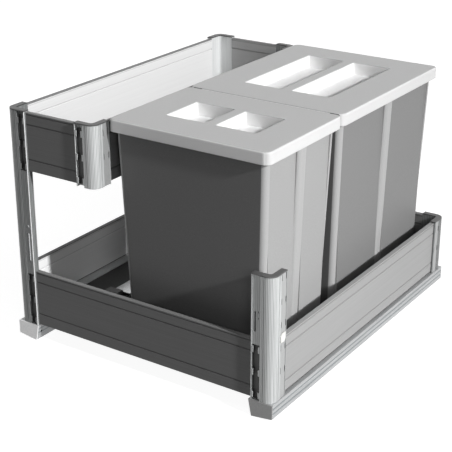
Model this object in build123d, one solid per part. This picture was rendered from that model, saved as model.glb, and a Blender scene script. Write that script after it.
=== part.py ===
from build123d import *
import os

# Pull-out waste unit for a 450 mm kitchen base cabinet: a low frame of panels and corner
# posts on two telescopic floor runners, a shallow tray carried by the two tall left posts,
# and two lidded bins standing on the floor board.
# Millimetres. X runs across the cabinet, Y into it and Z up. The origin is the middle of
# the unit's footprint on the cabinet floor, with the front at -Y and the bins at +X.

# ---------------------------------------------------------------- driving dimensions
unit_width = 416.0
unit_depth = 495.0
travel_reserve = 55.0

# Cover rails: the moving outer profile of each runner.
rail_width = 34.7
rail_top = 23.5
rail_sheet = 1.5
outer_leg_bottom = 4.4
inner_leg_bottom = 0.6
inner_leg_lean = 4.5
rail_groove_height = 2.4
rail_groove_places = (0.35, 0.7)
rail_groove_depth = 0.5
end_plate = 2.0
end_plate_radius = 0.8
latch_hole_radius = 1.6
latch_hole_setback = 9.0

# Telescopic parts under each cover rail.
channel_width = 19.0
channel_height = 9.5
channel_sheet = 1.5
channel_mouth = 7.0
channel_inset = 8.0
channel_setback = 8.0
drawer_channel_setback = 36.0
beam_flange_width = 12.4
beam_flange_height = 2.0
beam_flange_lift = 2.2
beam_web = 3.0
beam_setback = 10.0
glide_length = 30.0
glide_clearance = 0.15
screw_hole_radius = 2.0
screw_access_radius = 3.3
screw_row_front = 69.0
screw_row_rear = 42.0
screw_hole_offset = 4.75

# Corner posts: hollow L extrusions with a rounded outer corner.
post_inset = 1.5
post_wing = 32.0
post_depth = 9.0
post_corner_radius = 12.0
post_inner_radius = 4.0
post_wall = 1.6
slot_channel_width = 11.7
slot_channel_depth = 6.4
slot_channel_lip = 1.7
post_line_width = 0.8
post_line_depth = 0.5
post_line_place = 14.0
post_end_chamfer = 0.9
notch_height = 8.4
notch_pitch = 31.5
notch_first = 5.5
tab_width = 2.2
tab_thickness = 1.2
tall_post_top = 331.3
short_post_top = 192.7
low_post_rise = 0.8
hanging_post_drop = 2.8
cap_thickness = 1.8
cap_neck_height = 0.6
cap_neck_inset = 0.8
cap_peg_length = 8.0
cap_chamfer = 0.5
foot_length = 20.0
foot_screw_radius = 1.5
foot_screw_head = 2.8
foot_screw_head_height = 1.5
foot_screw_length = 16.0
foot_screw_place = 13.0
foot_screw_tip_gap = 1.0

# Panels: hollow extrusions between the posts.
panel_height = 80.0
panel_thickness = 6.5
panel_skin = 1.4
panel_recess = 2.7
panel_groove_place = 16.0
panel_groove_height = 2.2
panel_groove_depth = 0.7
panel_bead_height = 1.8
panel_bead_depth = 0.6
panel_lift = 1.5
panel_end_gap = 0.2
tray_bin_gap = 9.8

# Clip strips that lock the panels to the posts, and the front fixing plates.
clip_thickness = 2.0
clip_length = 75.0
clip_lug_width = 1.8
clip_tongue_height = 12.0
clip_tongue_reach = 10.0
clip_tongue_places = (31.0, 49.0)
cover_strip_setback = 0.5
cover_strip_thickness = 2.0
cover_notch_width = 1.8
lever_thickness = 1.2
lever_start = 17.0
lever_end = 27.6
lever_bottom = 102.3
lever_height = 11.7
lever_corner = 3.0
fixing_sheet = 1.6
fixing_setback = 1.0
left_slot_place = 24.2
left_slot_width = 4.5
left_slot_length = 43.0
left_slot_height = 139.2
left_hole_rise = 30.7
left_hole_radius = 2.6
right_slot_place = 26.4
right_slot_width = 3.2
right_slot_length = 28.0
right_slot_height = 131.1
right_hole_radius = 1.5
right_hole_place = 20.7
right_hole_low = 135.9
right_hole_spacing = 8.8
window_start = 16.0
window_end = 27.5
window_margin = 5.0

# Floor, edge angles, guide rail and tray floor.
board_thickness = 16.0
board_corner_radius = 6.0
edge_strip_width = 14.0
edge_strip_thickness = 1.2
guide_width = 27.5
guide_height = 6.5
guide_sheet = 1.2
guide_slot = 5.0
guide_slot_start = 36.0
guide_bin_gap = 53.0
guide_front = 116.0
guide_rear = 24.0
guide_clip_width = 23.0
guide_clip_depth = 13.0
guide_clip_height = 9.0
guide_clip_shift = 7.0
guide_clip_chamfer = 0.8
tray_ledge_height = 10.0
tray_ledge_lift = 1.5
tray_board = 4.0

# Bins and lids.
bin_width = 223.5
bin_side_gap = 34.0
front_bin_front = 33.5
front_bin_rear = 197.5
rear_bin_front = 211.5
rear_bin_gap = 11.0
bin_draft = 0.03
bin_wall = 2.2
bin_floor = 2.6
bin_corner_radius = 7.0
bin_rib_flat = 8.6
bin_rib_rise = 3.0
bin_rib_radius = 6.0
bin_rib_border = 0.4
bin_column_width = 9.5
bin_column_spread = 0.8
bin_panel_recess = 2.6
bin_panel_rise = 4.0
bin_rim_reach = 3.5
bin_rim_height = 8.0
lid_side_overhang = 7.5
lid_end_overhang = 6.0
lid_height = 16.0
lid_rise = 5.7
lid_plate = 2.6
lid_skirt = 2.2
lid_corner_radius = 9.0
lid_edge_radius = 2.0
lid_between = 2.0
pocket_width = 60.0
pocket_bar = 15.5
pocket_depth = 18.0
pocket_wall = 2.0
pocket_radius = 2.5
pocket_end_margin = 53.5
rear_pocket_shift = 4.0

# Clearances between pieces.
seat = 0.3
fit = 0.1
loose = 0.5

# ---------------------------------------------------------------- derived places
slide_travel = unit_depth - travel_reserve
front = -unit_depth / 2
rear = unit_depth / 2
frame_front = front + end_plate
frame_left = -unit_width / 2 + post_inset
frame_rear = rear
board_top = rail_top + board_thickness
base_panel_bottom = rail_top + panel_lift
base_panel_top = base_panel_bottom + panel_height
tray_panel_bottom = tall_post_top - low_post_rise - panel_height
slot_channel_end = post_wing - slot_channel_lip
slot_channel_start = slot_channel_end - slot_channel_width
left_hole_height = left_slot_height + left_hole_rise
peg_reach = slot_channel_start - 2 * post_wall
panel_inner_face = panel_recess + panel_thickness
channel_middle = unit_width / 2 - channel_inset - channel_width / 2
lid_top = tall_post_top + lid_rise
lid_bottom = lid_top - lid_height
bin_seat = board_top + seat
bin_top = lid_top - lid_plate - seat
bin_right = unit_width / 2 - bin_side_gap
bin_left = bin_right - bin_width
tray_right = bin_left - tray_bin_gap
guide_right = bin_left - guide_bin_gap


# ---------------------------------------------------------------- helpers
def block(x, y, z):
    """A box between two values on each axis."""
    size = (x[1] - x[0], y[1] - y[0], z[1] - z[0])
    middle = ((x[0] + x[1]) / 2, (y[0] + y[1]) / 2, (z[0] + z[1]) / 2)
    return Pos(*middle) * Box(*size)


def along_y(section, y):
    """A section drawn as (x, z), swept along Y between two values."""
    plane = Plane(origin=(0, y[0], 0), x_dir=(1, 0, 0), z_dir=(0, -1, 0))
    return extrude(plane * section, amount=y[0] - y[1])


def along_x(section, x):
    """A section drawn as (y, z), swept along X between two values."""
    plane = Plane(origin=(x[0], 0, 0), x_dir=(0, 1, 0), z_dir=(1, 0, 0))
    return extrude(plane * section, amount=x[1] - x[0])


def upright(section, z):
    """A section drawn as (x, y), swept up between two heights."""
    return extrude(Pos(0, 0, z[0]) * section, amount=z[1] - z[0])


def rectangle(u, v):
    """A flat rectangle between two values on each axis of its sketch."""
    return Pos((u[0] + u[1]) / 2, (v[0] + v[1]) / 2) * Rectangle(u[1] - u[0], v[1] - v[0])


def rod(radius, x, y, z):
    """An upright round bar between two heights."""
    return Pos(x, y, (z[0] + z[1]) / 2) * Cylinder(radius, z[1] - z[0])


def other_side(shape):
    """The same shape on the other side of the unit's middle plane."""
    return mirror(shape, about=Plane.YZ)


def at_corner(shape, x, y, right=False, at_rear=False):
    """A shape drawn at a front left corner, turned to face one of the four corners."""
    if right:
        shape = mirror(shape, about=Plane.YZ)
    if at_rear:
        shape = mirror(shape, about=Plane.XZ)
    return Pos(x, y, 0) * shape


# ---------------------------------------------------------------- runners
def cover_section(inset):
    """The cover rail's outline on the right side, moved inwards by inset all round."""
    outer = unit_width / 2 - inset
    top = rail_top - inset
    inner_top = unit_width / 2 - rail_width + inset
    inner_bottom = inner_top + inner_leg_lean
    return make_face(
        Polyline(
            (outer, outer_leg_bottom),
            (outer, top),
            (inner_top, top),
            (inner_bottom, inner_leg_bottom),
            close=True,
        )
    )


def cover_rail():
    """Roll-formed cover profile of the right runner, open below, with side grooves."""
    section = cover_section(0) - cover_section(rail_sheet)
    bottom = rectangle((0, unit_width), (-rail_top, outer_leg_bottom))
    inner_leg = rectangle((0, channel_middle), (inner_leg_bottom, rail_top))
    section -= bottom - inner_leg
    side = unit_width / 2
    for share in rail_groove_places:
        z = outer_leg_bottom + share * (rail_top - outer_leg_bottom)
        groove_z = (z - rail_groove_height / 2, z + rail_groove_height / 2)
        section -= rectangle((side - rail_groove_depth, side + 1), groove_z)
    rail = along_y(section, (frame_front, rear))
    inner_face = side - rail_width
    hole = Pos(inner_face, front + latch_hole_setback, rail_top / 2) * Rot(0, 90, 0)
    rail -= hole * Cylinder(latch_hole_radius, 2 * inner_leg_lean)
    screw_x = side - post_inset - post_depth / 2
    for y in (frame_front + foot_screw_place, frame_rear - foot_screw_place):
        rail -= rod(foot_screw_radius + fit, screw_x, y, (0, rail_top + 1))
    return rail


def end_plate_right():
    """Folded front plate that closes the cover rail's end."""
    plate = along_y(cover_section(0), (front, front + end_plate))
    lower = plate.edges().filter_by(Axis.Y).sort_by(Axis.Z)[:2]
    return fillet(lower, end_plate_radius)


def channel_section(opens_up):
    """C channel with inward lips, standing on z = 0 or hanging from z = 0."""
    half = channel_width / 2
    section = rectangle((-half, half), (0, channel_height))
    inside = half - channel_sheet
    section -= rectangle((-inside, inside), (channel_sheet, channel_height - channel_sheet))
    mouth = channel_mouth / 2
    section -= rectangle((-mouth, mouth), (channel_sheet, channel_height + 1))
    if not opens_up:
        section = mirror(section, about=Plane.XZ)
    return section


def screw_rows():
    """The two screw places along each cabinet channel."""
    return (front + screw_row_front, rear - screw_row_rear)


def cabinet_channel():
    """Fixed channel of the right runner, screwed to the cabinet floor through its base."""
    section = Pos(channel_middle, 0) * channel_section(True)
    channel = along_y(section, (front + channel_setback, rear - end_plate))
    for y in screw_rows():
        x = channel_middle + screw_hole_offset
        channel -= rod(screw_hole_radius, x, y, (-1, channel_sheet + 1))
    return channel


def drawer_channel():
    """Moving channel of the right runner, welded under the cover rail."""
    section = Pos(channel_middle, rail_top - rail_sheet) * channel_section(False)
    return along_y(section, (front + drawer_channel_setback, rear - drawer_channel_setback))


def beam_section():
    """I beam whose two flanges run in the lower and the upper channel."""
    low = beam_flange_lift + channel_sheet
    high = rail_top - rail_sheet - low
    flange = beam_flange_width / 2
    web = beam_web / 2
    section = rectangle((-web, web), (low, high))
    section += rectangle((-flange, flange), (low, low + beam_flange_height))
    section += rectangle((-flange, flange), (high - beam_flange_height, high))
    return Pos(channel_middle, 0) * section


def middle_beam():
    """Telescopic middle member of the right runner.

    When the drawer is fully out, its flange notches uncover the front cabinet screw.
    """
    beam = along_y(beam_section(), (front + beam_setback, rear - beam_setback))
    y = front + screw_row_front + slide_travel / 2
    x = channel_middle + screw_hole_offset
    return beam - rod(screw_access_radius, x, y, (0, rail_top))


def glide(fixed_outside, fixed_inside, y):
    """Nylon shoe round a beam flange inside the lower channel.

    Its outside touches the channel and its slot clears the flange, or the other way round.
    """
    outside = 0 if fixed_outside else glide_clearance
    inside = 0 if fixed_inside else glide_clearance
    half = channel_width / 2 - channel_sheet - outside
    low = channel_sheet + outside
    high = channel_height - channel_sheet - outside
    flange = beam_flange_width / 2 + inside
    flange_low = channel_sheet + beam_flange_lift - inside
    flange_high = channel_sheet + beam_flange_lift + beam_flange_height + inside
    section = rectangle((-half, half), (low, high))
    section -= rectangle((-flange, flange), (flange_low, flange_high))
    section -= rectangle((-channel_mouth / 2, channel_mouth / 2), (flange_low, high + 1))
    return along_y(Pos(channel_middle, 0) * section, y)


def upside_down(shape):
    """The same glide inside the upper, hanging channel."""
    return mirror(shape, about=Plane.XY.offset((rail_top - rail_sheet) / 2))


def cabinet_glide():
    """Shoe fixed in the front end of the cabinet channel, which the beam slides through."""
    y = front + channel_setback
    return glide(True, False, (y, y + glide_length))


def drawer_glide():
    """Shoe fixed in the rear end of the moving channel, which slides along the beam."""
    y = rear - drawer_channel_setback
    return upside_down(glide(True, False, (y - glide_length, y)))


def middle_glides():
    """Shoes fixed on the beam: one low at its rear end and one high at its front end."""
    last = rear - beam_setback
    first = front + drawer_channel_setback
    lower = glide(False, True, (last - glide_length, last))
    upper = upside_down(glide(False, True, (first, first + glide_length)))
    return [lower, upper]


# ---------------------------------------------------------------- corner posts
def l_outline(inset, reach):
    """L outline with both wings along +X and +Y from a rounded corner at the origin."""
    back = post_depth - inset
    outline = make_face(
        Polyline(
            (inset, inset),
            (reach, inset),
            (reach, back),
            (back, back),
            (back, reach),
            (inset, reach),
            close=True,
        )
    )
    outer = outline.vertices().sort_by_distance((inset, inset, 0))[0]
    outline = fillet(outer, post_corner_radius - inset)
    inner = outline.vertices().sort_by_distance((back, back, 0))[0]
    return fillet(inner, post_inner_radius + inset)


def swap_wings(shape):
    """The same shape on the other wing: X and Y change places."""
    diagonal = Plane(origin=(0, 0, 0), z_dir=(1, -1, 0))
    return mirror(shape, about=diagonal)


def post_section():
    """Extruded section: hollow corner, an open clip channel on each wing, fine lines."""
    section = l_outline(0, post_wing)
    section -= l_outline(post_wall, slot_channel_start - post_wall)
    cuts = rectangle((slot_channel_start, slot_channel_end), (-1, slot_channel_depth))
    line = post_line_width / 2
    cuts += rectangle((post_line_place - line, post_line_place + line), (-1, post_line_depth))
    bevel = post_end_chamfer * 2**0.5
    cuts += Pos(post_wing, 0) * Rot(0, 0, 45) * Rectangle(bevel, bevel)
    section -= cuts
    section -= swap_wings(cuts)
    return section


def notch_heights(panel_bottom, z):
    """Heights of the punched notches between two ends of a post, in step with a panel."""
    first = panel_bottom + notch_first
    heights = []
    steps = int(tall_post_top / notch_pitch)
    for step in range(-steps, steps):
        height = first + step * notch_pitch
        if z[0] + notch_height < height < z[1] - notch_height / 2:
            heights.append(height)
    return heights


def tabs(heights):
    """Tabs left standing over one wing's channel where its lips are milled away between."""
    pieces = []
    for z in heights:
        tab_z = (z - notch_height / 2, z + notch_height / 2)
        pieces.append(block((slot_channel_start, slot_channel_start + tab_width), (0, tab_thickness), tab_z))
        pieces.append(block((slot_channel_end - tab_width, slot_channel_end), (0, tab_thickness), tab_z))
    return pieces


def tongue_slots(panel_bottoms):
    """Openings in a wing's end lip that let the clip tongues into the panel."""
    cut = []
    for bottom in panel_bottoms:
        for place in clip_tongue_places:
            reach = clip_tongue_height / 2 + fit
            z = (bottom + place - reach, bottom + place + reach)
            y = (slot_channel_depth - clip_thickness - fit, slot_channel_depth)
            cut.append(block((slot_channel_end - 1, post_wing + 1), y, z))
    return cut


def clip_heights(panel_bottom):
    """Heights of the three tabs and lugs at one panel."""
    return notch_heights(panel_bottom, (panel_bottom - notch_height, panel_bottom + clip_length))


def post(z, panel_bottoms):
    """Corner post between two heights, with tabs on its first wing at each panel."""
    body = upright(post_section(), z)
    for bottom in panel_bottoms:
        body += tabs(clip_heights(bottom))
    slots = tongue_slots(panel_bottoms)
    body -= slots
    body -= [swap_wings(slot) for slot in slots]
    return body


def cover_strip(z, panel_bottom):
    """Notched strip that closes the channel of a post's side wing over its full height."""
    x = (slot_channel_start + fit, slot_channel_end - fit)
    y = (cover_strip_setback, cover_strip_setback + cover_strip_thickness)
    strip = block(x, y, (z[0] + fit, z[1] - fit))
    for height in notch_heights(panel_bottom, z):
        notch_z = (height - notch_height / 2, height + notch_height / 2)
        strip -= block((x[0] - 1, x[0] + cover_notch_width), (0, slot_channel_depth), notch_z)
        strip -= block((x[1] - cover_notch_width, x[1] + 1), (0, slot_channel_depth), notch_z)
    return swap_wings(strip)


def clip_lever():
    """Release lever of the lower side clip, lying on the wing's end over the panel's top."""
    x = (lever_start, lever_end)
    y = (-lever_thickness - fit, -fit)
    lever = block(x, y, (lever_bottom, lever_bottom + lever_height))
    corners = lever.edges().filter_by(Axis.Y).sort_by(lambda edge: edge.center().X - edge.center().Z)
    return swap_wings(chamfer([corners[0], corners[-1]], lever_corner))


def slot_shape(length, width, x, z):
    """Upright slot with round ends through the face of a fixing plate."""
    section = Pos(x, z) * Rot(0, 0, 90) * SlotOverall(length, width)
    return along_y(section, (-1, slot_channel_depth))


def post_cap(z):
    """Moulded cap on a post's top: a plate, a neck that leaves a fine gap, and a peg."""
    plate = upright(l_outline(0, post_wing), (z + cap_neck_height, z + cap_thickness))
    rim = plate.edges().group_by(Axis.Z)[-1]
    plate = chamfer(rim, cap_chamfer)
    neck = upright(l_outline(cap_neck_inset, post_wing - cap_neck_inset), (z, z + cap_neck_height))
    peg = upright(l_outline(post_wall + fit, peg_reach), (z - cap_peg_length, z))
    return plate + neck + peg


def post_foot(z):
    """Plug in the bottom of a standing post that takes the screw from the rail."""
    plug = upright(l_outline(post_wall + fit, peg_reach), (z, z + foot_length))
    hole_z = (z - 1, z + foot_screw_length)
    return plug - rod(foot_screw_radius + fit / 2, post_depth / 2, foot_screw_place, hole_z)


def foot_screw(z):
    """Pan head screw up through the cover rail into a post's foot."""
    head_top = z - rail_sheet
    x = post_depth / 2
    head = rod(foot_screw_head, x, foot_screw_place, (head_top - foot_screw_head_height, head_top))
    tip = z + foot_screw_length - foot_screw_tip_gap
    return head + rod(foot_screw_radius, x, foot_screw_place, (head_top, tip))


def clip(panel_bottom, lug_top):
    """Clip strip for one wing: a strip in the channel, six lugs and two panel tongues."""
    x = (slot_channel_start + fit, slot_channel_end - fit)
    y = (slot_channel_depth - clip_thickness, slot_channel_depth)
    low = panel_bottom - seat
    strip = block(x, y, (low, low + clip_length))
    for z in clip_heights(panel_bottom):
        lug_z = (z - notch_height / 2, z + notch_height / 2)
        lug_y = (lug_top, y[1])
        strip += block((x[0], x[0] + clip_lug_width), lug_y, lug_z)
        strip += block((x[1] - clip_lug_width, x[1]), lug_y, lug_z)
    for place in clip_tongue_places:
        tongue_x = (x[1] - clip_lug_width, post_wing + clip_tongue_reach)
        middle = panel_bottom + place
        tongue_z = (middle - clip_tongue_height / 2, middle + clip_tongue_height / 2)
        strip += block(tongue_x, y, tongue_z)
    return strip


def clip_pair(panel_bottom):
    """The two clip strips of one panel corner."""
    side_lug_top = cover_strip_setback + cover_strip_thickness + fit
    return [clip(panel_bottom, tab_thickness + fit), swap_wings(clip(panel_bottom, side_lug_top))]


def fixing_plate(z):
    """Folded channel that fills the front wing above the clip, for the front's screws."""
    x = (slot_channel_start + fit, slot_channel_end - fit)
    plate = block(x, (fixing_setback, slot_channel_depth), z)
    inside = (fixing_setback + fixing_sheet, slot_channel_depth)
    return plate - block((x[0] + fixing_sheet, x[1] - fixing_sheet), inside, z)


def screw_hole(radius, x, z):
    """Round hole through the face of a fixing plate."""
    return along_y(Pos(x, z) * Circle(radius), (-1, slot_channel_depth))


def post_window(z):
    """Opening in the front wing's back wall behind a fixing plate's slot and holes."""
    return block((window_start, window_end), (slot_channel_depth - fit, post_depth + 1), z)


# ---------------------------------------------------------------- panels
def panel_section():
    """Hollow panel section as (depth, height) with its outer face at panel_recess."""
    outer = panel_recess
    inner = panel_inner_face
    section = rectangle((outer, inner), (0, panel_height))
    places = (0, panel_groove_place, panel_height - panel_groove_place, panel_height)
    for low, high in zip(places, places[1:]):
        chamber = (low + panel_skin, high - panel_skin)
        section -= rectangle((outer + panel_skin, inner - panel_skin), chamber)
    for place in places[1:3]:
        groove = (place - panel_groove_height / 2, place + panel_groove_height / 2)
        section -= rectangle((outer - 1, outer + panel_groove_depth), groove)
        section -= rectangle((inner - panel_groove_depth, inner + 1), groove)
    bead = (panel_height - 2 * panel_bead_height, panel_height - panel_bead_height)
    section -= rectangle((outer - 1, outer + panel_bead_depth), bead)
    return section


def front_panel(x, bottom):
    """Panel across the front between two posts' wing ends."""
    section = Pos(frame_front, bottom) * panel_section()
    start = x[0] + post_wing + panel_end_gap
    end = x[1] - post_wing - panel_end_gap
    return along_x(section, (start, end))


def left_panel(x, bottom):
    """Panel along the left side of a frame whose outer face is at x."""
    section = Pos(x, bottom) * panel_section()
    start = frame_front + post_wing + panel_end_gap
    return along_y(section, (start, frame_rear - post_wing - panel_end_gap))


def mirrored_in_x(shape, x):
    """The same shape on the other side of an upright plane at x."""
    return mirror(shape, about=Plane.YZ.offset(x))


# ---------------------------------------------------------------- floor and tray
def floor_board():
    """Melamine board lying on the two rails inside the panels."""
    x = frame_left + panel_inner_face + loose
    y = frame_front + panel_inner_face + loose
    board = block((x, -x), (y, frame_rear - panel_inner_face - loose), (rail_top, board_top))
    return fillet(board.edges().filter_by(Axis.Z), board_corner_radius)


def floor_edge():
    """Flat aluminium strip along the left side of the floor board."""
    x = frame_left + panel_inner_face + loose
    y = frame_front + post_wing
    z = (board_top, board_top + edge_strip_thickness)
    return block((x, x + edge_strip_width), (y, frame_rear - post_wing), z)


def guide_rail():
    """Slotted rail on the floor board, left of the bins."""
    left = guide_right - guide_width
    low = board_top
    high = board_top + guide_height
    section = rectangle((left, guide_right), (low, high))
    inner_x = (left + guide_sheet, guide_right - guide_sheet)
    section -= rectangle(inner_x, (low + guide_sheet, high - guide_sheet))
    y = (front + guide_front, rear - guide_rear)
    rail = along_y(section, y)
    middle = (left + guide_right) / 2
    slot_x = (middle - guide_slot / 2, middle + guide_slot / 2)
    return rail - block(slot_x, (y[0] + guide_slot_start, y[1] + 1), (low + guide_sheet, high + 1))


def guide_clips():
    """Moulded end stops in front of and behind the guide rail."""
    left = guide_right - guide_width - guide_clip_shift
    clips = []
    for y in (front + guide_front - guide_clip_depth, rear - guide_rear):
        z = (board_top, board_top + guide_clip_height)
        stop = block((left, left + guide_clip_width), (y, y + guide_clip_depth), z)
        clips.append(chamfer(stop.edges().group_by(Axis.Z)[-1], guide_clip_chamfer))
    return clips


def tray_ledge():
    """Angle riveted inside the tray's left panel to carry the tray floor."""
    x = frame_left + panel_inner_face
    y = (frame_front + post_wing, frame_rear - post_wing)
    low = tray_panel_bottom + tray_ledge_lift
    flat = block((x, x + edge_strip_width), y, (low, low + edge_strip_thickness))
    return flat + block((x, x + edge_strip_thickness), y, (low, low + tray_ledge_height))


def tray_floor():
    """Thin board lying on the two tray angles."""
    x = frame_left + panel_inner_face + edge_strip_thickness + loose
    far_x = tray_right - panel_inner_face - edge_strip_thickness - loose
    y = (frame_front + panel_inner_face + loose, frame_rear - panel_inner_face - loose)
    low = tray_panel_bottom + tray_ledge_lift + edge_strip_thickness
    board = block((x, far_x), y, (low, low + tray_board))
    return fillet(board.edges().filter_by(Axis.Z), board_corner_radius)


# ---------------------------------------------------------------- bins and lids
def rib_flank(radius):
    """How far a rib's rounded edge of that radius reaches beside its flat top."""
    return (2 * radius * bin_rib_rise - bin_rib_rise**2) ** 0.5


def bin_outline(y, inset, shrink):
    """Bin outline moved inwards, with a raised round-edged rib in the middle of each side."""
    gap = inset + shrink
    low_x, high_x = bin_left + gap, bin_right - gap
    low_y, high_y = y[0] + gap, y[1] - gap
    middle = (low_y + high_y) / 2
    round_edge = bin_rib_radius - inset
    top = (middle - bin_rib_flat / 2, middle + bin_rib_flat / 2)
    foot = (top[0] - rib_flank(round_edge), top[1] + rib_flank(round_edge))
    peak = high_x + bin_rib_rise
    edge = Line((low_x, low_y), (high_x, low_y))
    edge += Line((high_x, low_y), (high_x, foot[0]))
    edge += RadiusArc((high_x, foot[0]), (peak, top[0]), -round_edge)
    edge += Line((peak, top[0]), (peak, top[1]))
    edge += RadiusArc((peak, top[1]), (high_x, foot[1]), -round_edge)
    edge += Line((high_x, foot[1]), (high_x, high_y))
    edge += Line((high_x, high_y), (low_x, high_y))
    peak = low_x - bin_rib_rise
    edge += Line((low_x, high_y), (low_x, foot[1]))
    edge += RadiusArc((low_x, foot[1]), (peak, top[1]), -round_edge)
    edge += Line((peak, top[1]), (peak, top[0]))
    edge += RadiusArc((peak, top[0]), (low_x, foot[0]), -round_edge)
    edge += Line((low_x, foot[0]), (low_x, low_y))
    outline = make_face(edge)
    centre = ((low_x + high_x) / 2, middle, 0)
    return fillet(outline.vertices().sort_by_distance(centre)[-4:], bin_corner_radius - inset)


def bin_body(y, inset, z):
    """Tapered bin form, inset all round, with steeper flat panels on both long sides."""
    bottom, top = z
    middle = (y[0] + y[1]) / 2
    drop = (lid_bottom - bottom) * bin_draft
    rise = (top - lid_bottom) * bin_draft
    sections = []
    for height, shrink in ((bottom, drop), (top, -rise)):
        sections.append(Pos(0, 0, height) * bin_outline(y, inset, shrink))
    body = loft(sections, ruled=True)
    rib_top = bin_rib_flat / 2 + rib_flank(bin_rib_radius - inset) + bin_rib_border
    rib_foot = rib_top + inset
    heights = (bottom, lid_bottom)
    spread = bin_column_width + bin_column_spread * drop
    for side in (-1, 1):
        wall = bin_left if side < 0 else bin_right
        deep = wall - side * (drop + 3 * bin_panel_rise)
        face_low = wall - side * (drop - bin_panel_rise + inset)
        face_high = wall - side * (bin_panel_recess + inset)
        outside = wall + side * 3 * bin_panel_rise
        for end in (-1, 1):
            edge = y[0] if end < 0 else y[1]
            rib_low = middle + end * rib_foot
            rib_high = middle + end * rib_top
            column_low = edge - end * (spread + inset)
            column_high = edge - end * (bin_column_width - inset)
            y_low = (rib_low, column_low)
            y_high = (rib_high, column_high)
            body -= tapered_block((deep, outside), (deep, outside), y_low, y_high, heights)
            body += tapered_block((deep, face_low), (deep, face_high), y_low, y_high, heights)
    return body


def tapered_block(x_low, x_high, y_low, y_high, z):
    """Block between two rectangles, one at its bottom and one at its top."""
    faces = []
    for x, y, height in ((x_low, y_low, z[0]), (x_high, y_high, z[1])):
        outline = rectangle((min(x), max(x)), (min(y), max(y)))
        faces.append(Pos(0, 0, height) * outline)
    return loft(faces, ruled=True)


def bin_shell(y):
    """Moulded bin with a rolled rim under the lid."""
    under_rim = bin_top - bin_wall
    shell = bin_body(y, 0, (bin_seat, under_rim))
    outline = rectangle(
        (bin_left - bin_rim_reach, bin_right + bin_rim_reach),
        (y[0] - bin_rim_reach, y[1] + bin_rim_reach),
    )
    outline = fillet(outline.vertices(), bin_corner_radius)
    shell += upright(outline, (under_rim, bin_top))
    inside = offset(outline, -bin_wall)
    shell += upright(outline - inside, (bin_top - bin_rim_height, under_rim))
    return shell - bin_body(y, bin_wall, (bin_seat + bin_floor, bin_top + bin_floor))


def lid(y, pocket_shift=0):
    """Moulded lid: a skirted plate with two sunk pockets and a grip bar between them."""
    x = (bin_left - lid_side_overhang, bin_right + lid_side_overhang)
    outline = rectangle(x, y)
    outline = fillet(outline.vertices(), lid_corner_radius)
    shell = upright(outline, (lid_bottom, lid_top))
    shell = fillet(shell.edges().group_by(Axis.Z)[-1], lid_edge_radius)
    inside = rectangle((x[0] + lid_skirt, x[1] - lid_skirt), (y[0] + lid_skirt, y[1] - lid_skirt))
    inside = fillet(inside.vertices(), lid_corner_radius - lid_skirt)
    shell -= upright(inside, (lid_bottom - 1, lid_top - lid_plate))
    middle = (x[0] + x[1]) / 2
    middle_y = (y[0] + y[1]) / 2 + pocket_shift
    pocket_length = y[1] - y[0] - 2 * pocket_end_margin
    floor = lid_top - pocket_depth
    for side in (-1, 1):
        centre = middle + side * (pocket_bar + pocket_width) / 2
        pocket = Pos(centre, middle_y) * RectangleRounded(pocket_width, pocket_length, pocket_radius)
        tub_width = pocket_width + 2 * pocket_wall
        tub_length = pocket_length + 2 * pocket_wall
        tub_radius = pocket_radius + pocket_wall
        tub = Pos(centre, middle_y) * RectangleRounded(tub_width, tub_length, tub_radius)
        shell += upright(tub, (floor - pocket_wall, lid_top - lid_plate / 2))
        shell -= upright(pocket, (floor, lid_top + 1))
    return shell


# ---------------------------------------------------------------- build and export
parts = {}


def add_both_sides(name, right_shape):
    """Keeps a right-hand piece and its left-hand mirror image as two nodes."""
    parts[name + "_right"] = right_shape
    parts[name + "_left"] = other_side(right_shape)


add_both_sides("cabinet_channel", cabinet_channel())
add_both_sides("middle_beam", middle_beam())
add_both_sides("drawer_channel", drawer_channel())
add_both_sides("drawer_rail", cover_rail())
add_both_sides("rail_end_plate", end_plate_right())
parts["cabinet_glides"] = [cabinet_glide(), other_side(cabinet_glide())]
parts["drawer_glides"] = [drawer_glide(), other_side(drawer_glide())]
parts["middle_glides_right"] = middle_glides()
parts["middle_glides_left"] = [other_side(shoe) for shoe in middle_glides()]

low_post_top = base_panel_top + low_post_rise
hanging_low = tray_panel_bottom - hanging_post_drop
base_only = [base_panel_bottom]
tray_only = [tray_panel_bottom]
both_panels = base_only + tray_only
# Each post: its corner, whether it faces right and is at the rear, its two ends, and the
# bottoms of the panels that it holds.
post_plan = {
    "front_left": (frame_left, frame_front, False, False, rail_top, tall_post_top, both_panels),
    "rear_left": (frame_left, frame_rear, False, True, rail_top, tall_post_top, both_panels),
    "front_right": (-frame_left, frame_front, True, False, rail_top, short_post_top, base_only),
    "rear_right": (-frame_left, frame_rear, True, True, rail_top, low_post_top, base_only),
    "tray_front": (tray_right, frame_front, True, False, hanging_low, tall_post_top, tray_only),
    "tray_rear": (tray_right, frame_rear, True, True, hanging_low, tall_post_top, tray_only),
}
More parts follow.
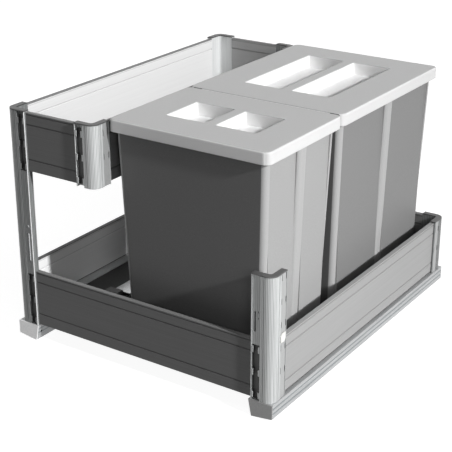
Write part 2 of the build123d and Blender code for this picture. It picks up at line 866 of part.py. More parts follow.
# Heights that the slots and holes of each front post's fixing plate span.
left_slot_low = left_slot_height - left_slot_length / 2
right_slot_low = right_slot_height - right_slot_length / 2
fixing_reach = {
    "front_left": (left_slot_low, left_hole_height + left_hole_radius),
    "front_right": (right_slot_low, right_slot_low + right_slot_length),
}
cover_strips = []
feet = []
foot_screws = []
for name, plan in post_plan.items():
    x, y, right, at_rear, low, high, bottoms = plan
    body = post((low, high), bottoms)
    if name in fixing_reach:
        window_low, window_high = fixing_reach[name]
        body -= post_window((window_low - window_margin, window_high + window_margin))
    clips = []
    for bottom in bottoms:
        clips += clip_pair(bottom)
    parts["post_" + name] = at_corner(body, x, y, right, at_rear)
    parts["cap_" + name] = at_corner(post_cap(high), x, y, right, at_rear)
    parts["clips_" + name] = [at_corner(one, x, y, right, at_rear) for one in clips]
    cover_strips.append(at_corner(cover_strip((low, high), bottoms[0]), x, y, right, at_rear))
    if low == rail_top:
        feet.append(at_corner(post_foot(low), x, y, right, at_rear))
        foot_screws.append(at_corner(foot_screw(low), x, y, right, at_rear))
parts["post_feet"] = feet
parts["post_foot_screws"] = foot_screws

parts["side_cover_strips"] = cover_strips
parts["clip_levers"] = [
    at_corner(clip_lever(), frame_left, frame_front),
    at_corner(clip_lever(), -frame_left, frame_front, True),
]

fixing_low = base_panel_bottom + clip_length
left_fixing = fixing_plate((fixing_low, tray_panel_bottom - 2 * seat))
left_fixing -= slot_shape(left_slot_length, left_slot_width, left_slot_place, left_slot_height)
left_fixing -= screw_hole(left_hole_radius, left_slot_place, left_hole_height)
right_fixing = fixing_plate((fixing_low, short_post_top))
right_fixing -= slot_shape(right_slot_length, right_slot_width, right_slot_place, right_slot_height)
for step in range(2):
    hole_z = right_hole_low + step * right_hole_spacing
    right_fixing -= screw_hole(right_hole_radius, right_hole_place, hole_z)
parts["fixing_plate_left"] = at_corner(left_fixing, frame_left, frame_front)
parts["fixing_plate_right"] = at_corner(right_fixing, -frame_left, frame_front, True)

base_span = (frame_left, -frame_left)
tray_span = (frame_left, tray_right)
tray_middle = (frame_left + tray_right) / 2
parts["base_panel_front"] = front_panel(base_span, base_panel_bottom)
parts["base_panel_rear"] = mirror(
    front_panel(base_span, base_panel_bottom), about=Plane.XZ.offset(-(frame_front + frame_rear) / 2)
)
parts["base_panel_left"] = left_panel(frame_left, base_panel_bottom)
parts["base_panel_right"] = other_side(left_panel(frame_left, base_panel_bottom))
parts["tray_panel_front"] = front_panel(tray_span, tray_panel_bottom)
parts["tray_panel_rear"] = mirror(
    front_panel(tray_span, tray_panel_bottom), about=Plane.XZ.offset(-(frame_front + frame_rear) / 2)
)
parts["tray_panel_left"] = left_panel(frame_left, tray_panel_bottom)
parts["tray_panel_right"] = mirrored_in_x(left_panel(frame_left, tray_panel_bottom), tray_middle)

parts["floor_board"] = floor_board()
parts["floor_edge_left"] = floor_edge()
parts["floor_edge_right"] = other_side(floor_edge())
parts["guide_rail"] = guide_rail()
parts["guide_end_clips"] = guide_clips()
parts["tray_ledge_left"] = tray_ledge()
parts["tray_ledge_right"] = mirrored_in_x(tray_ledge(), tray_middle)
parts["tray_floor"] = tray_floor()

front_bin_y = (front + front_bin_front, front + front_bin_rear)
rear_bin_y = (front + rear_bin_front, rear - rear_bin_gap)
lid_edge = (front_bin_y[1] + rear_bin_y[0]) / 2
front_lid_y = (front_bin_y[0] - lid_end_overhang, lid_edge - lid_between / 2)
rear_lid_y = (lid_edge + lid_between / 2, rear_bin_y[1] + lid_end_overhang)
parts["front_bin"] = bin_shell(front_bin_y)
parts["rear_bin"] = bin_shell(rear_bin_y)
parts["front_lid"] = lid(front_lid_y)
parts["rear_lid"] = lid(rear_lid_y, rear_pocket_shift)

os.makedirs("parts", exist_ok=True)
for name, shape in parts.items():
    if isinstance(shape, list):
        shape = Compound(children=shape)
    export_step(shape, "parts/" + name + ".step")
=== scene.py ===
import bpy
import math
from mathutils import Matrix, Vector


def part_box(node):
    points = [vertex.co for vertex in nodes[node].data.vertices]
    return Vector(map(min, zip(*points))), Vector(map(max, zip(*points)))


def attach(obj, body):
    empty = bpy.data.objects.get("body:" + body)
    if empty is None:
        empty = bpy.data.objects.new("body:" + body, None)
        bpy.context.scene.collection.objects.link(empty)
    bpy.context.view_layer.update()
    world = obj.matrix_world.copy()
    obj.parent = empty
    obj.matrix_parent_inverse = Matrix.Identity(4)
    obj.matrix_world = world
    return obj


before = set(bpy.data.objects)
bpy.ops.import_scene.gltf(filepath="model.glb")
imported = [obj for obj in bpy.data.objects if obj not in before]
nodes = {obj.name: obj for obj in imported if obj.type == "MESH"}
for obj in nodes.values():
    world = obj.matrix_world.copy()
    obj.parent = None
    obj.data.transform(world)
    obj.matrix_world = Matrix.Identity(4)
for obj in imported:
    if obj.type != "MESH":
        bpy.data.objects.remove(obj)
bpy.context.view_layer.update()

# ---------------------------------------------------------------- telescopic runners
# Each runner is a fixed channel, a middle beam and a moving channel, roll formed from
# zinc-plated steel strip. The fixed channel is screwed to the cabinet floor and the
# moving one is welded under the cover rail.


def linear(code):
    """An sRGB hex colour as the four linear values that a colour socket takes."""
    values = []
    for start in (0, 2, 4):
        share = int(code[start:start + 2], 16) / 255
        values.append(share / 12.92 if share <= 0.04045 else ((share + 0.055) / 1.055) ** 2.4)
    return (*values, 1.0)


def add_node(material, kind, settings=None, values=None, links=None):
    """Adds a node: settings are its properties, values its inputs, links its input: output."""
    tree = material.node_tree
    node = tree.nodes.new(kind)
    for key, value in (settings or {}).items():
        setattr(node, key, value)
    for key, value in (values or {}).items():
        node.inputs[key].default_value = value
    for key, output in (links or {}).items():
        tree.links.new(output, node.inputs[key])
    return node


def finish_material(name, values, links):
    """A material whose Principled BSDF takes these values; links makes its linked inputs."""
    material = bpy.data.materials.new(name)
    material.use_nodes = True
    shader = material.node_tree.nodes["Principled BSDF"]
    for key, value in values.items():
        shader.inputs[key].default_value = value
    place = add_node(material, "ShaderNodeTexCoord").outputs["Object"]
    for key, output in links(material, place).items():
        material.node_tree.links.new(output, shader.inputs[key])
    return material


def two_tones(material, factor, dark, light):
    """The colour between two sRGB tones, over the middle of a noise's range."""
    ramp = add_node(material, "ShaderNodeValToRGB", links={"Fac": factor})
    first, last = ramp.color_ramp.elements
    first.position, first.color = 0.3, linear(dark)
    last.position, last.color = 0.7, linear(light)
    return ramp.outputs["Color"]


def raised(material, height, strength, depth, edge_radius):
    """The normal of a pattern raised by a depth, on edges rounded by a radius, in metres."""
    edge = add_node(
        material, "ShaderNodeBevel", settings={"samples": 4}, values={"Radius": edge_radius}
    )
    bump = add_node(
        material,
        "ShaderNodeBump",
        values={"Strength": strength, "Distance": depth},
        links={"Height": height, "Normal": edge.outputs[0]},
    )
    return bump.outputs[0]


def paint(material, *names):
    """Gives CAD nodes this material in every slot they have."""
    for name in names:
        for slot in nodes[name].material_slots:
            slot.material = material


def bands(material, place, low, high, edges):
    """1 between each pair of heights above low, and 0 elsewhere. All are in metres."""
    height = add_node(material, "ShaderNodeSeparateXYZ", links={"Vector": place}).outputs["Z"]
    share = add_node(
        material,
        "ShaderNodeMapRange",
        values={"From Min": low, "From Max": high},
        links={"Value": height},
    )
    ramp = add_node(material, "ShaderNodeValToRGB", links={"Fac": share.outputs[0]})
    stops = ramp.color_ramp
    stops.interpolation = "CONSTANT"
    stops.elements[0].position, stops.elements[0].color = 0.0, (0, 0, 0, 1)
    stops.elements.remove(stops.elements[1])
    for number, edge in enumerate(edges):
        stop = stops.elements.new(edge / (high - low))
        stop.color = (0, 0, 0, 1) if number % 2 else (1, 1, 1, 1)
    return ramp.outputs["Color"]


def darker(material, factor, tone, dark):
    """The tone, or the sRGB colour dark where the factor is 1."""
    mix = add_node(
        material,
        "ShaderNodeMix",
        settings={"data_type": "RGBA"},
        values={7: linear(dark)},
        links={0: factor, 6: tone},
    )
    return mix.outputs[2]


rail_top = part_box("drawer_rail_right")[1].z
# The cover rail's two rolled grooves, 2.4 mm high, are painted darker zinc, as painted shade in
# them.
rail_grooves = (0.0099, 0.0123, 0.0166, 0.0190)
# Roll marks about 1.1 mm apart. These and all die lines are 100 times as long as wide.
roll_marks_per_metre = 900.0
stretch = 0.01


def rolled_strip(material, place):
    """Roll marks along the strip, in tone, gloss and height, and painted shade in the grooves."""
    along = add_node(
        material,
        "ShaderNodeMapping",
        values={"Scale": (1.0, stretch, 1.0)},
        links={"Vector": place},
    )
    marks = add_node(
        material,
        "ShaderNodeTexNoise",
        values={"Scale": roll_marks_per_metre, "Detail": 3.0},
        links={"Vector": along.outputs[0]},
    ).outputs["Fac"]
    gloss = add_node(
        material,
        "ShaderNodeMapRange",
        values={"To Min": 0.3, "To Max": 0.5},
        links={"Value": marks},
    )
    # The grooves are painted darker, as shade.
    groove_shade = bands(material, place, 0.0, rail_top, rail_grooves)
    tone = two_tones(material, marks, "A0A2A3", "BCBDBE")
    return {
        "Base Color": darker(material, groove_shade, tone, "868C8E"),
        "Roughness": gloss.outputs[0],
        "Normal": raised(material, marks, strength=0.15, depth=0.0002, edge_radius=0.0004),
    }


# Zinc plating looks an even, cool grey with a soft sheen, streaked by the rolls.
zinc_plated_strip = finish_material(
    "zinc_plated_rolled_strip", {"Metallic": 0.4}, rolled_strip
)
for side in ("left", "right"):
    for piece in ("cabinet_channel_", "middle_beam_", "drawer_channel_", "drawer_rail_"):
        paint(zinc_plated_strip, piece + side)
paint(zinc_plated_strip, "post_foot_screws")

# ---------------------------------------------------------------- end plates
# A folded plate closes the front end of each cover rail. It is sprayed with a satin grey
# lacquer, whose slight orange peel, about 2 mm across, ripples what it reflects.
peel_per_metre = 500.0


def sprayed_lacquer(dark, light):
    """A maker of links for lacquer with an orange peel."""
    def links(material, place):
        peel = add_node(
            material,
            "ShaderNodeTexNoise",
            values={"Scale": peel_per_metre},
            links={"Vector": place},
        ).outputs["Fac"]
        return {
            "Base Color": two_tones(material, peel, dark, light),
            "Normal": raised(material, peel, strength=0.1, depth=0.0002, edge_radius=0.0006),
        }
    return links


# The plates are one lacquer, and their tones are matched one by one: the left plate is painted
# far paler than the right, as painted light.
for side, dark, light in (("left", "ECECEC", "F4F4F4"), ("right", "929292", "9A9A9A")):
    plate_lacquer = finish_material(
        "sprayed_lacquer_grey",
        {"Roughness": 0.45, "Metallic": 0.25},
        sprayed_lacquer(dark, light),
    )
    paint(plate_lacquer, "rail_end_plate_" + side)

# ---------------------------------------------------------------- runner shoes
# Moulded acetal shoes guide the beams in the channels. The two release levers on the front
# posts are moulded from the same plastic, which looks milky white and a little waxy.

# The real grain is 0.3 mm and is drawn at 1 mm, the finest that the render shows.
grains_per_metre = 1000.0


def fine_grain(dark, light):
    """A maker of links for the fine grain that an eroded mould or a press plate leaves."""
    def links(material, place):
        grain = add_node(
            material,
            "ShaderNodeTexNoise",
            values={"Scale": grains_per_metre, "Detail": 2.0},
            links={"Vector": place},
        ).outputs["Fac"]
        return {
            "Base Color": two_tones(material, grain, dark, light),
            "Normal": raised(material, grain, strength=0.08, depth=0.0002, edge_radius=0.0004),
        }
    return links


white_acetal = finish_material(
    "moulded_acetal_white", {"Roughness": 0.4}, fine_grain("E2E2DE", "E8E8E4")
)
paint(white_acetal, "cabinet_glides", "drawer_glides", "clip_levers")
paint(white_acetal, "middle_glides_left", "middle_glides_right")

# ---------------------------------------------------------------- floor boards
# Melamine-faced chipboard, laid on the runners inside the panels, and a thinner board in
# the tray. The face is pressed against a plate with a fine pearl texture, which leaves it
# a flat dark grey with little gloss.
board = finish_material(
    "melamine_faced_board_anthracite",
    {"Roughness": 0.5, "Specular IOR Level": 0.3},
    fine_grain("3C3C3C", "4A4A4A"),
)
paint(board, "floor_board", "tray_floor")

# ---------------------------------------------------------------- posts
# Corner posts extruded from aluminium, with fine flutes round the outer corner that the
# die leaves. A screw in each foot fixes the standing ones to the runners. The strips,
# ledges and plates beside them are the same metal.

# The real flutes are finer. At 2.6 mm, the render still shows them one by one.
flute_spacing = 0.0026
# Die lines about 0.9 mm apart break up the flutes, whose wave is a fifth as strong.
die_lines_per_metre = 1100.0
flute_strength = 0.22


def marked(material, place, tone, colour, ranges):
    """The tone, or the sRGB colour where each named coordinate is in its range of metres."""
    parts = add_node(material, "ShaderNodeSeparateXYZ", links={"Vector": place})
    inside = None
    for key, start, end in ranges:
        near = add_node(
            material,
            "ShaderNodeMath",
            settings={"operation": "COMPARE"},
            values={1: (start + end) / 2, 2: (end - start) / 2},
            links={0: parts.outputs[key]},
        )
        if inside:
            near = add_node(
                material,
                "ShaderNodeMath",
                settings={"operation": "MULTIPLY"},
                links={0: inside.outputs[0], 1: near.outputs[0]},
            )
        inside = near
    return darker(material, inside.outputs[0], tone, colour)


def drawn_metal(direction, dark, light, painted_light_mark):
    """A maker of links for extruded metal: flutes run up it, spaced along x + direction * y."""
    def links(material, place):
        parts = add_node(material, "ShaderNodeSeparateXYZ", links={"Vector": place})
        across = add_node(
            material,
            "ShaderNodeMath",
            settings={"operation": "MULTIPLY_ADD"},
            values={1: direction},
            links={0: parts.outputs["Y"], 2: parts.outputs["X"]},
        )
        turns = add_node(
            material,
            "ShaderNodeMath",
            settings={"operation": "MULTIPLY"},
            values={1: 2 * math.pi / flute_spacing},
            links={0: across.outputs[0]},
        )
        flutes = add_node(
            material,
            "ShaderNodeMath",
            settings={"operation": "SINE"},
            links={0: turns.outputs[0]},
        )
        along = add_node(
            material,
            "ShaderNodeMapping",
            values={"Scale": (1.0, 1.0, stretch)},
            links={"Vector": place},
        )
        lines = add_node(
            material,
            "ShaderNodeTexNoise",
            values={"Scale": die_lines_per_metre, "Detail": 3.0},
            links={"Vector": along.outputs[0]},
        )
        both = add_node(
            material,
            "ShaderNodeMath",
            settings={"operation": "MULTIPLY_ADD"},
            values={1: flute_strength},
            links={0: flutes.outputs[0], 2: lines.outputs["Fac"]},
        ).outputs[0]
        tone = two_tones(material, both, dark, light)
        if painted_light_mark:
            tone = marked(material, place, tone, *painted_light_mark)
        return {
            "Base Color": tone,
            "Normal": raised(material, both, strength=0.5, depth=0.0003, edge_radius=0.0003),
        }
    return links


# The right front post's channel is painted dark inside, as painted shade, where its fixing
# plate's slot shows it.
right_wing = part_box("post_front_right")[0]
channel_across = ("X", right_wing.x + 0.0005, right_wing.x + 0.0140)
channel_back = ("Y", right_wing.y + 0.0035, right_wing.y + 0.0070)
painted_channel_shade = ("2E2E2E", (channel_across, channel_back))
# The left front post's end lip, 1.2 mm wide, is painted bright, as a painted highlight.
lip_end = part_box("post_front_left")[1].x
painted_lip_highlight = ("F0F1F1", (("X", lip_end - 0.0013, lip_end - 0.0001),))

# Anodising leaves a satin silver, which the flutes break into light and dark lines. The posts,
# strips and plates are one metal, but their tones differ from piece to piece as painted light and
# shade. Each row has the flutes' direction, two tones matched one by one, pieces and a painted
# mark.
edge_strips = ("floor_edge_left", "floor_edge_right", "tray_ledge_left", "tray_ledge_right")
for direction, dark, light, names, painted_light_mark in (
    (1.0, "9EA0A0", "D4D6D6", ("post_front_right",), painted_channel_shade),
    (-1.0, "565858", "828484", ("post_rear_right",), ()),
    (1.0, "A0A2A2", "DCDEDE", ("post_tray_front",), ()),
    (1.0, "D6D8D8", "F0F1F1", ("post_rear_left",), ()),
    (-1.0, "6A6C6C", "9A9C9C", ("post_front_left",), painted_lip_highlight),
    (-1.0, "707272", "A2A4A4", ("post_tray_rear", "fixing_plate_left"), ()),
    (-1.0, "D2D4D4", "E6E8E8", edge_strips, ()),
    (-1.0, "A6A8A8", "CCCECE", ("fixing_plate_right",), ()),
):
    finish = finish_material(
        "anodised_aluminium_drawn",
        {"Metallic": 0.1, "Roughness": 0.36},
        drawn_metal(direction, dark, light, painted_light_mark),
    )
    paint(finish, *names)

# ---------------------------------------------------------------- guide rail and cover strips
# A slotted aluminium rail on the floor board keeps the bins in line. Thin notched strips of
# aluminium are slid into the posts' side channels, over their whole height.


def bright_drawn(material, place):
    """Spots of a bright drawn face about 1 mm across, in tone and gloss."""
    spots = add_node(
        material,
        "ShaderNodeTexNoise",
        values={"Scale": grains_per_metre, "Detail": 2.0},
        links={"Vector": place},
    ).outputs["Fac"]
    gloss = add_node(
        material,
        "ShaderNodeMapRange",
        values={"To Min": 0.12, "To Max": 0.3},
        links={"Value": spots},
    )
    return {
        "Base Color": two_tones(material, spots, "C4C5C6", "DADBDC"),
        "Roughness": gloss.outputs[0],
    }


# Bright dipping leaves a near mirror, which shows the bins and the board beside it.
bright_metal = finish_material("bright_dipped_aluminium", {"Metallic": 0.8}, bright_drawn)
paint(bright_metal, "guide_rail")
# Metal as it leaves the press is a plain, slightly dull grey.
strip_metal = finish_material(
    "mill_finish_aluminium",
    {"Metallic": 0.3, "Roughness": 0.4},
    fine_grain("A2A3A3", "AEAFAF"),
)
paint(strip_metal, "side_cover_strips")

# ---------------------------------------------------------------- bright strip behind the slot
# A polished strip slid in behind the left fixing plate stands in for the light seen through the
# plate's slot and hole: it reflects the white world, so they look bright. It is rolled with a
# shallow trough along its back, shows only through the slot and hole, and reaches 4 mm past both.
plate_low, plate_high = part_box("fixing_plate_left")
plate_sheet = 0.0016
strip_gap = 0.0001
strip_sheet = 0.0006
strip_width = 0.0078
strip_low, strip_high = 0.1137, 0.1765
strip_edge = 0.00015
trough_border = 0.0012
trough_depth = 0.0002
strip_place = (
    (plate_low.x + plate_high.x) / 2,
    plate_low.y + plate_sheet + strip_gap + strip_sheet / 2,
    (strip_low + strip_high) / 2,
)
bpy.ops.object.select_all(action="DESELECT")
bpy.ops.mesh.primitive_cube_add(size=1.0, location=strip_place)
strip = bpy.context.object
strip.name = "slot_brightening_strip"
strip.scale = (strip_width, strip_sheet, strip_high - strip_low)
bpy.ops.object.transform_apply(location=True, rotation=True, scale=True)
bpy.ops.object.mode_set(mode="EDIT")
bpy.ops.mesh.select_all(action="SELECT")
bpy.ops.mesh.bevel(offset=strip_edge, segments=2)
bpy.ops.object.mode_set(mode="OBJECT")
back_area = strip_width * (strip_high - strip_low)
for face in strip.data.polygons:
    face.select = face.normal.y > 0.99 and face.area > back_area / 2
bpy.ops.object.mode_set(mode="EDIT")
bpy.ops.mesh.select_mode(type="FACE")
bpy.ops.mesh.inset(thickness=trough_border)
bpy.ops.transform.translate(value=(0.0, -trough_depth, 0.0))
bpy.ops.object.mode_set(mode="OBJECT")
strip.data.materials.append(bright_metal)
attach(strip, "drawer")

# ---------------------------------------------------------------- panels
# Hollow aluminium extrusions between the posts, held at their ends by the clips. They are
# anodised after an etching bath. All are one metal, painted in tones that differ from panel to
# panel as painted light and shade: the left panels pale and the front ones dark.
panel_height = 0.080
groove_place = 0.016
groove_half_height = 0.0011
bead_low, bead_high = 0.0764, 0.0782
# The edges of the two grooves and of the line under the top bead, which are painted darker as
# shade.
panel_grooves = (
    groove_place - groove_half_height,
    groove_place + groove_half_height,
    panel_height - groove_place - groove_half_height,
    panel_height - groove_place + groove_half_height,
    bead_low,
    bead_high,
)
# Die lines about 1.4 mm apart.
panel_lines_per_metre = 700.0


def etched_extrusion(bottom, dark, light, groove_shade_tone, painted_line_tone, line_edges):
    """A maker of links for a panel, whose die lines run level along its length, with painted
    shade in its grooves and painted lines.
    """
    def links(material, place):
        along = add_node(
            material,
            "ShaderNodeMapping",
            values={"Scale": (stretch, stretch, 1.0)},
            links={"Vector": place},
        )
        lines = add_node(
            material,
            "ShaderNodeTexNoise",
            values={"Scale": panel_lines_per_metre, "Detail": 3.0},
            links={"Vector": along.outputs[0]},
        ).outputs["Fac"]
        tone = two_tones(material, lines, dark, light)
        for edges, colour in ((panel_grooves, groove_shade_tone), (line_edges, painted_line_tone)):
            inside = bands(material, place, bottom, bottom + panel_height, edges)
            tone = darker(material, inside, tone, colour)
        return {
            "Base Color": tone,
            "Normal": raised(material, lines, strength=0.05, depth=0.0002, edge_radius=0.0005),
        }
    return links


# Etching takes the shine off, so the panels look a soft, matt grey with faint level lines. Each
# group has its two tones, its grooves' tone, and the tone and edges of its lines: the top edge's,
# the one where the left panel meets the edge strip, and the right panel's foot. The top edge's
# line is a painted highlight on the dark panels and painted shade on the pale ones, and the other
# two lines are painted shadows.
painted_top_line = panel_height - 0.0010
foot_shadow_line = (0.0001, 0.0018)
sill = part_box("floor_edge_left")[1].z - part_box("base_panel_left")[0].z
sill_shadow_line = (sill, sill + 0.0016)
for level, tones, names in (
    ("base", ("767676", "7C7C7C", "5C5C5C", "868686", (painted_top_line,)), ("front", "rear")),
    ("base", ("9E9E9E", "A4A4A4", "8C8C8C", "4E4E4E", foot_shadow_line), ("right",)),
    ("base", ("F0F0F0", "F4F4F4", "DCDCDC", "505050", (*sill_shadow_line, painted_top_line)), ("left",)),
    ("tray", ("767676", "7C7C7C", "5C5C5C", "868686", (painted_top_line,)), ("front", "right")),
    ("tray", ("E8E8E8", "ECECEC", "D8D8D8", "8A8A8A", (painted_top_line,)), ("left",)),
    ("tray", ("C0C0C0", "C4C4C4", "A8A8A8", "8A8A8A", (painted_top_line,)), ("rear",)),
):
    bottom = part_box(level + "_panel_front")[0].z
    finish = finish_material(
        "etched_aluminium_extrusion",
        {"Roughness": 0.45, "Specular IOR Level": 0.2},
        etched_extrusion(bottom, *tones),
    )
    paint(finish, *[level + "_panel_" + name for name in names])

# ---------------------------------------------------------------- clips
# Moulded nylon strips, pushed into the posts' channels, lock the panels by their tongues.
# The nylon is painted nearly black and half matt, as painted shade, so the posts' notches read as
# dark.
clip_nylon = finish_material(
    "moulded_nylon_charcoal", {"Roughness": 0.5}, fine_grain("2C2C2C", "363636")
)
for corner in ("front_left", "rear_left", "front_right", "rear_right", "tray_front", "tray_rear"):
    paint(clip_nylon, "clips_" + corner)

# ---------------------------------------------------------------- caps
# A moulded nylon cap closes each post, with a peg in its hollow, and a plug fills each
# foot. The right front cap and the guide rail's end clips are a paler grey. All have a
# soft gloss.
dark_cap = finish_material(
    "moulded_nylon_dark_grey", {"Roughness": 0.4}, fine_grain("484848", "525252")
)
paint(dark_cap, "cap_front_left", "cap_rear_left", "cap_tray_front", "cap_tray_rear")
paint(dark_cap, "cap_rear_right", "post_feet")
grey_cap = finish_material(
    "moulded_nylon_mid_grey", {"Roughness": 0.4}, fine_grain("545454", "5E5E5E")
)
paint(grey_cap, "cap_front_right", "guide_end_clips")

# ---------------------------------------------------------------- bins
# Two bins injection moulded in grey polypropylene. The mould's flat side panels are etched
# coarser than its corner columns and ribs, so they look duller, and they are painted darker, as
# painted shade.
column_width = 0.0095
column_spread = 0.0068
rib_half_width = 0.0100
corner_radius = 0.006
wall_draft = 0.0084
rim_reach = 0.0035


def off_middle(material, coordinate, middle):
    """How far a coordinate is from a middle, on either side."""
    offset = add_node(
        material,
        "ShaderNodeMath",
        settings={"operation": "SUBTRACT"},
        values={1: middle},
        links={0: coordinate},
    )
    distance = add_node(
        material,
        "ShaderNodeMath",
        settings={"operation": "ABSOLUTE"},
        links={0: offset.outputs[0]},
    )
    return distance.outputs[0]


def inside_taper(material, distance, height, ends, at_foot, at_top):
    """1 where a distance is under a limit that changes evenly between two heights."""
    limit = add_node(
        material,
        "ShaderNodeMapRange",
        values={"From Min": ends[0], "From Max": ends[1], "To Min": at_foot, "To Max": at_top},
        links={"Value": height},
    )
    inside = add_node(
        material,
        "ShaderNodeMath",
        settings={"operation": "LESS_THAN"},
        links={0: distance, 1: limit.outputs[0]},
    )
    return inside.outputs[0]


def moulded_bin(low, high, flat_shade_tones, end_shade_tones):
    """A maker of links for the bin between two corners of its box, which its rim reaches."""
    left, right = low.x + rim_reach, high.x - rim_reach
    front, rear = low.y + rim_reach, high.y - rim_reach
    ends = (low.z, high.z)

    def links(material, place):
        parts = add_node(material, "ShaderNodeSeparateXYZ", links={"Vector": place})
        height = parts.outputs["Z"]
        # The columns widen towards the bin's foot.
        from_rib = off_middle(material, parts.outputs["Y"], (front + rear) / 2)
        flat_end = (rear - front) / 2 - column_width
        inside_columns = inside_taper(
            material, from_rib, height, ends, flat_end - column_spread, flat_end
        )
        outside_rib = add_node(
            material,
            "ShaderNodeMath",
            settings={"operation": "GREATER_THAN"},
            values={1: rib_half_width},
            links={0: from_rib},
        )
        side_flat = add_node(
            material,
            "ShaderNodeMath",
            settings={"operation": "MULTIPLY"},
            links={0: inside_columns, 1: outside_rib.outputs[0]},
        ).outputs[0]
        # The whole front and rear faces, between the corners' roundings, are etched too, and
        # painted darker still, as painted shade.
        from_middle = off_middle(material, parts.outputs["X"], (left + right) / 2)
        face_end = (right - left) / 2 - corner_radius
        end_face = inside_taper(
            material, from_middle, height, ends, face_end - wall_draft, face_end
        )
        etched = add_node(
            material,
            "ShaderNodeMath",
            settings={"operation": "MAXIMUM"},
            links={0: side_flat, 1: end_face},
        )
        grain = add_node(
            material,
            "ShaderNodeTexNoise",
            values={"Scale": grains_per_metre, "Detail": 2.0},
            links={"Vector": place},
        ).outputs["Fac"]
        tone = two_tones(material, grain, "A8A8A8", "AEAEAE")
        for share, tones in ((side_flat, flat_shade_tones), (end_face, end_shade_tones)):
            tone = add_node(
                material,
                "ShaderNodeMix",
                settings={"data_type": "RGBA"},
                links={0: share, 6: tone, 7: two_tones(material, grain, *tones)},
            ).outputs[2]
        gloss = add_node(
            material,
            "ShaderNodeMapRange",
            values={"To Min": 0.36, "To Max": 0.5},
            links={"Value": etched.outputs[0]},
        )
        return {
            "Base Color": tone,
            "Roughness": gloss.outputs[0],
            "Normal": raised(material, grain, strength=0.08, depth=0.0002, edge_radius=0.0006),
        }
    return links


# Polypropylene looks dense and even, with a broad, dull highlight.
# The front and rear faces are painted dark, as painted shade.
end_shade_tones = ("6E6E6E", "767676")
# The rear bin's flats are painted darker than the front bin's, as painted shade.
for name, flat_shade_tones in (("front_bin", ("9C9C9C", "A4A4A4")), ("rear_bin", ("7C7C7C", "848484"))):
    bin_plastic = finish_material(
        "moulded_polypropylene_grey",
        {"Specular IOR Level": 0.2},
        moulded_bin(*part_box(name), flat_shade_tones, end_shade_tones),
    )
    paint(bin_plastic, name)

# ---------------------------------------------------------------- lids
# Two lids moulded in pale grey polypropylene lie over the bins' rims. Each has two sunk
# pockets to lift it by. The mould is etched, so the tops are even and half matt.
lid_low, lid_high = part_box("front_lid")
lid_seam = (lid_high.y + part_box("rear_lid")[0].y) / 2
edge_start, edge_end = 0.0009, 0.0001
seam_shade_half_width = 0.0016
front_face_depth = 0.0008
# The pockets lie further in from the sides and the front than this, and less far down.
pocket_margin = 0.020
pocket_reach = 0.0250
top_skin = 0.0008
beyond_rear = 1.0


def etched_top(material, place):
    """A grain about 1 mm across, with tones for the top, the skirts, the gap and pockets, which
    paint light and shade on them.
    """
    grain = add_node(
        material,
        "ShaderNodeTexNoise",
        values={"Scale": grains_per_metre, "Detail": 2.0},
        links={"Vector": place},
    ).outputs["Fac"]
    height = add_node(material, "ShaderNodeSeparateXYZ", links={"Vector": place}).outputs["Z"]
    # The skirts are painted paler than the top, as painted light, and their tone turns to the
    # top's over the last 0.8 mm of the edge.
    on_top = add_node(
        material,
        "ShaderNodeMapRange",
        values={"From Min": lid_high.z - edge_start, "From Max": lid_high.z - edge_end},
        links={"Value": height},
    )
    tone = add_node(
        material,
        "ShaderNodeMix",
        settings={"data_type": "RGBA"},
        links={
            0: on_top.outputs[0],
            6: two_tones(material, grain, "D4D4D4", "D8D8D8"),
            7: two_tones(material, grain, "CCCCCC", "D4D4D4"),
        },
    ).outputs[2]
    # The skirts that meet are painted dark for 0.6 mm on each side of the gap, as painted shade
    # in it. The front skirt's face is painted pale, as painted light, and so are the pockets, as
    # the light they gather.
    pockets = (
        ("X", lid_low.x + pocket_margin, lid_high.x - pocket_margin),
        ("Y", lid_low.y + pocket_margin, beyond_rear),
        ("Z", lid_high.z - pocket_reach, lid_high.z - top_skin),
    )
    for colour, ranges in (
        ("343434", (("Y", lid_seam - seam_shade_half_width, lid_seam + seam_shade_half_width),)),
        ("FAFAFA", (("Y", lid_low.y - 0.0001, lid_low.y + front_face_depth),)),
        ("F4F4F4", pockets),
    ):
        tone = marked(material, place, tone, colour, ranges)
    return {
        "Base Color": tone,
        "Normal": raised(material, grain, strength=0.1, depth=0.0002, edge_radius=0.0008),
    }


# A little light passes under the surface, which softens the edges and looks waxy.
lid_plastic = finish_material(
    "moulded_polypropylene_pale",
    {
        "Roughness": 0.4,
        "Specular IOR Level": 0.35,
        "Subsurface Weight": 0.4,
        "Subsurface Radius": (1.0, 1.0, 1.0),
        "Subsurface Scale": 0.004,
    },
    etched_top,
)
paint(lid_plastic, "front_lid", "rear_lid")

# ---------------------------------------------------------------- floor and light
# A pale floor far wider than the picture. Camera, glossy and transmission rays see it
# white with the object's shadow on it, and diffuse rays see it dull, so it adds little.
floor_size = 40.0
# The glow comes to white with the lamps' light on the floor.
floor_glow = 0.92
# The world's light on the object, where it isn't seen directly.
world_level = 0.05
bpy.ops.object.select_all(action="DESELECT")
bpy.ops.mesh.primitive_plane_add(size=floor_size, location=(0, 0, 0))
floor = bpy.context.object
floor.name = "studio_floor"
floor_paint = bpy.data.materials.new("matt_floor_paint")
floor_paint.use_nodes = True
shader = floor_paint.node_tree.nodes["Principled BSDF"]
shader.inputs["Base Color"].default_value = linear("A0A0A0")
shader.inputs["Roughness"].default_value = 0.9
shader.inputs["Specular IOR Level"].default_value = 0.0


def seen_directly(material):
    """1 for camera, glossy and transmission rays, and 0 for the others."""
    path = add_node(material, "ShaderNodeLightPath")
    seen = path.outputs["Is Camera Ray"]
    for ray in ("Is Glossy Ray", "Is Transmission Ray"):
        seen = add_node(
            material,
            "ShaderNodeMath",
            settings={"operation": "MAXIMUM"},
            links={0: seen, 1: path.outputs[ray]},
        ).outputs[0]
    return seen


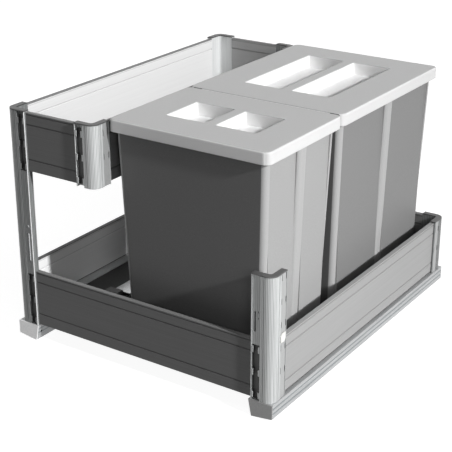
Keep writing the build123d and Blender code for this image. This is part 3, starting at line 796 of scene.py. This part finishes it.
glow = add_node(
    floor_paint, "ShaderNodeEmission", values={"Color": linear("FFFFFF"), "Strength": floor_glow}
)
lit = add_node(
    floor_paint, "ShaderNodeAddShader", links={0: shader.outputs[0], 1: glow.outputs[0]}
)
dull = add_node(floor_paint, "ShaderNodeBsdfDiffuse", values={"Color": linear("585858")})
choice = add_node(
    floor_paint,
    "ShaderNodeMixShader",
    links={0: seen_directly(floor_paint), 1: dull.outputs[0], 2: lit.outputs[0]},
)
floor_output = floor_paint.node_tree.nodes["Material Output"]
floor_paint.node_tree.links.new(choice.outputs[0], floor_output.inputs["Surface"])
floor.data.materials.append(floor_paint)

world = bpy.data.worlds.new("studio_world")
bpy.context.scene.world = world
world.use_nodes = True
backdrop = world.node_tree.nodes["Background"]
backdrop.inputs["Color"].default_value = linear("FFFFFF")
level = add_node(
    world,
    "ShaderNodeMapRange",
    values={"To Min": world_level, "To Max": 1.0},
    links={"Value": seen_directly(world)},
)
world.node_tree.links.new(level.outputs[0], backdrop.inputs["Strength"])

# Two far lamps, as suns: the key from the right and a low one from behind.
# Each has its direction towards the lamp, the lamp's width in degrees and its strength.
key_azimuth = math.radians(6.5)
key_height = math.radians(27.0)
to_key = (
    math.cos(key_height) * math.cos(key_azimuth),
    -math.cos(key_height) * math.sin(key_azimuth),
    math.sin(key_height),
)
for name, direction, width, strength in (
    ("key_light", to_key, 3.0, 0.97 * math.pi),
    ("back_light", (0.3, 0.94, 0.2), 25.0, 0.08 * math.pi),
):
    bpy.ops.object.light_add(type="SUN")
    lamp = bpy.context.object
    lamp.name = name
    lamp.data.energy = strength
    lamp.data.angle = math.radians(width)
    lamp.rotation_euler = Vector(direction).to_track_quat("Z", "Y").to_euler()

# Four near softboxes lift the right side, the tops, the front and the left side. Each has
# its place, width in metres and watts, and all point at the unit's front half.
aim = Vector((0.0, -0.1, 0.2))
for name, place, width, power in (
    ("near_softbox", (0.70, -0.24, 0.36), 0.15, 1.1),
    ("high_softbox", (0.55, -0.65, 1.35), 0.3, 0.8),
    ("front_softbox", (1.17, -1.39, 0.85), 0.4, 3.8),
    ("left_softbox", (-1.5, -0.05, 0.34), 0.8, 6.0),
):
    bpy.ops.object.light_add(type="AREA", location=place)
    lamp = bpy.context.object
    lamp.name = name
    lamp.data.size = width
    lamp.data.energy = power
    lamp.visible_camera = False
    lamp.rotation_euler = (Vector(place) - aim).to_track_quat("Z", "Y").to_euler()

# ---------------------------------------------------------------- camera
# It stands where the photograph was taken from, which the unit's straight edges give. The
# focal length is in pixels of a picture 452 pixels wide.
focal_length = 1186.82
picture_width = 452.0
sensor_width = 36.0
bpy.ops.object.camera_add(location=(0.8589, -1.3177, 0.7853))
camera = bpy.context.object
camera.name = "photo_camera"
camera.data.lens = sensor_width * focal_length / picture_width
camera.data.sensor_width = sensor_width
camera.data.clip_start = 0.05
camera.data.clip_end = 60.0
turn = math.radians(33.87)
tilt = math.radians(22.67)
back = Vector((math.sin(turn) * math.cos(tilt), -math.cos(turn) * math.cos(tilt), math.sin(tilt)))
camera.rotation_euler = back.to_track_quat("Z", "Y").to_euler()
bpy.context.scene.camera = camera
bpy.context.scene.view_settings.view_transform = "Standard"
